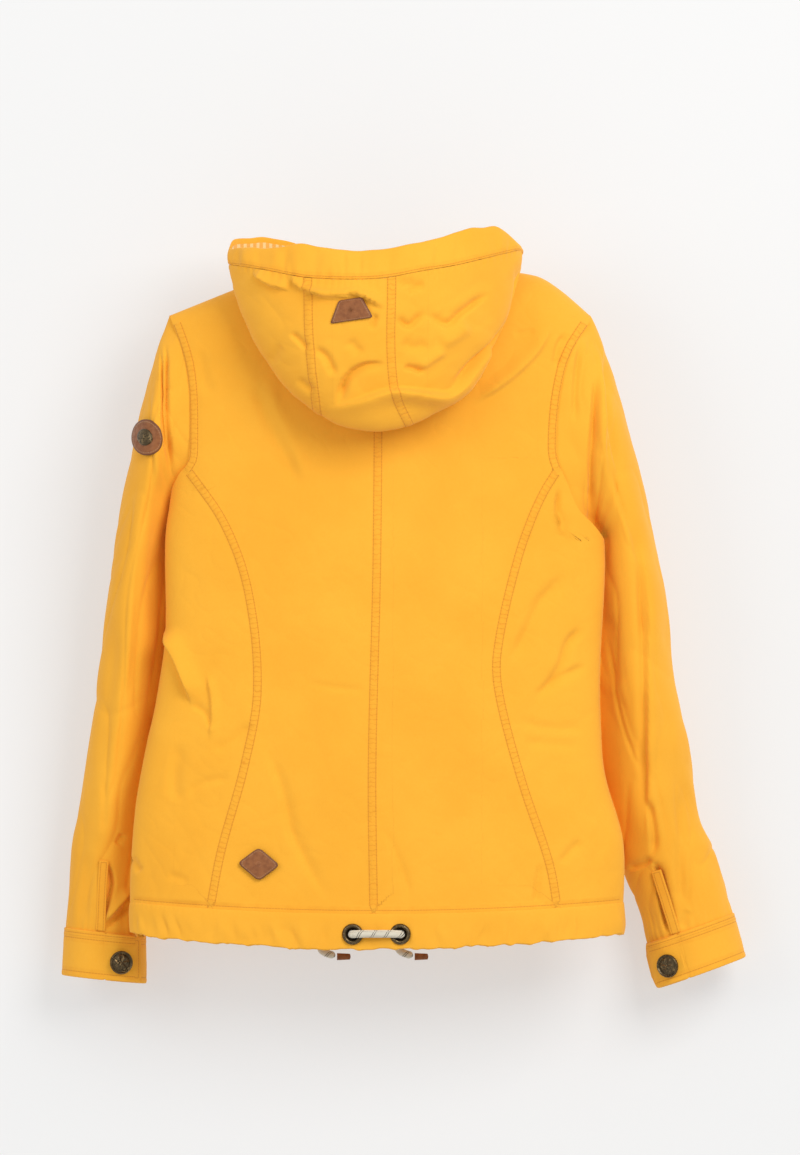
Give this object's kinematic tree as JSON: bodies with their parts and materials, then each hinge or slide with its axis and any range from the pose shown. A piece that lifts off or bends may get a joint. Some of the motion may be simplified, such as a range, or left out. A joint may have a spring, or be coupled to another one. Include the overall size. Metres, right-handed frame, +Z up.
{
  "type": "hooded jacket",
  "caption": "Hip-length hooded cotton jacket hanging at its neck: panelled body, zip front, drawcord hem, two-part sleeves with snap-tab cuffs and a hood that hangs behind.",
  "frame": {"origin": "the hanger's neck, in the middle of the collar at the height of the back neck seam", "axes": "+X is the wearer's right, +Y the wearer's front, +Z up along the hanging jacket"},
  "size_m": [0.6524, 0.2291, 0.7226],
  "materials": {
    "yellow_cotton": "garment-washed amber-yellow cotton twill with darker orange stitching and puckered felled seams",
    "striped_lining": "light cotton lining with cream and yellow stripes",
    "brown_leather": "smooth tan-brown leather with a pale line of stitching inside its edge",
    "antique_brass": "dark antiqued brass, worn brighter on its rims",
    "cream_cord": "braided cream cotton cord with a dark tracer winding round it",
    "zip_nylon": "amber nylon coil and woven zip tape"
  },
  "bodies": {
    "torso": {"back_panel_left": "yellow_cotton", "back_panel_right": "yellow_cotton", "collar_stand": "yellow_cotton", "cord_tip_left": "brown_leather", "cord_tip_right": "brown_leather", "front_panel_left": "yellow_cotton", "front_panel_right": "yellow_cotton", "hang_loop": "yellow_cotton", "hem_band_inner": "yellow_cotton", "hem_band_outer": "yellow_cotton", "hem_cord": "cream_cord", "hem_cord_end_left": "cream_cord", "hem_cord_end_right": "cream_cord", "hem_eyelet_back_left": "antique_brass", "hem_eyelet_back_right": "antique_brass", "hem_eyelet_front_left": "antique_brass", "hem_eyelet_front_right": "antique_brass", "hem_patch": "brown_leather", "pocket_welt_left": "yellow_cotton", "pocket_welt_right": "yellow_cotton", "side_back_panel_left": "yellow_cotton", "side_back_panel_right": "yellow_cotton", "side_front_panel_left": "yellow_cotton", "side_front_panel_right": "yellow_cotton", "zip_chain_left": "zip_nylon", "zip_chain_right": "zip_nylon", "zip_retainer": "antique_brass", "zip_tape_left": "zip_nylon", "zip_tape_right": "zip_nylon", "zip_top_stop_left": "antique_brass", "zip_top_stop_right": "antique_brass"},
    "hood": {"hood_lining": "striped_lining", "hood_panel_centre": "yellow_cotton", "hood_panel_left": "yellow_cotton", "hood_panel_right": "yellow_cotton", "hood_patch": "brown_leather", "hood_rim_casing": "yellow_cotton"},
    "upper_sleeve_left": {"upper_sleeve_left": "yellow_cotton", "arm_patch": "brown_leather", "arm_patch_emblem": "antique_brass"},
    "lower_sleeve_left": {"lower_sleeve_left": "yellow_cotton", "cuff_left": "yellow_cotton", "sleeve_placket_left": "yellow_cotton", "cuff_snap_stud_left": "antique_brass"},
    "cuff_tab_left": {"cuff_tab_left": "yellow_cotton", "cuff_snap_cap_left": "antique_brass"},
    "upper_sleeve_right": {"upper_sleeve_right": "yellow_cotton"},
    "lower_sleeve_right": {"lower_sleeve_right": "yellow_cotton", "cuff_right": "yellow_cotton", "sleeve_placket_right": "yellow_cotton", "cuff_snap_stud_right": "antique_brass"},
    "cuff_tab_right": {"cuff_tab_right": "yellow_cotton", "cuff_snap_cap_right": "antique_brass"},
    "zip_slider": {"zip_slider": "antique_brass"},
    "zip_pull": {"zip_pull": "antique_brass"}
  },
  "joints": [
    {"name": "hood_raise", "type": "hinge", "parent": "torso", "child": "hood", "pos_m": [-0.003, 0.02, -0.005], "axis": [-1, 0, 0], "range_deg": [0, 120]},
    {"name": "shoulder_left", "type": "hinge", "parent": "torso", "child": "upper_sleeve_left", "pos_m": [-0.2018, 0, -0.0565], "axis": [0, 1, 0], "range_deg": [0, 40]},
    {"name": "shoulder_right", "type": "hinge", "parent": "torso", "child": "upper_sleeve_right", "pos_m": [0.2039, 0, -0.0565], "axis": [0, -1, 0], "range_deg": [0, 40]},
    {"name": "elbow_left", "type": "hinge", "parent": "upper_sleeve_left", "child": "lower_sleeve_left", "pos_m": [-0.235, 0.0804, -0.3618], "axis": [1, 0, 0], "range_deg": [0, 75], "stiffness_Nm_per_rad": 0.8},
    {"name": "elbow_right", "type": "hinge", "parent": "upper_sleeve_right", "child": "lower_sleeve_right", "pos_m": [0.247, 0.0804, -0.365], "axis": [1, 0, 0], "range_deg": [0, 75], "stiffness_Nm_per_rad": 0.8},
    {"name": "cuff_tab_left", "type": "hinge", "parent": "lower_sleeve_left", "child": "cuff_tab_left", "pos_m": [-0.26059, 0.024, -0.6406], "axis": [-0.0227, 0, -0.9997], "range_deg": [0, 110]},
    {"name": "cuff_tab_right", "type": "hinge", "parent": "lower_sleeve_right", "child": "cuff_tab_right", "pos_m": [0.28637, 0.02437, -0.64133], "axis": [-0.2584, 0, 0.966], "range_deg": [0, 110]},
    {"name": "zip_travel", "type": "slide", "parent": "torso", "child": "zip_slider", "axis": [0, 0, -1], "range_m": [0, 0.525]},
    {"name": "zip_pull_swing", "type": "hinge", "parent": "zip_slider", "child": "zip_pull", "pos_m": [0, 0.05, -0.061], "axis": [1, 0, 0], "range_deg": [0, 150]}
  ]
}
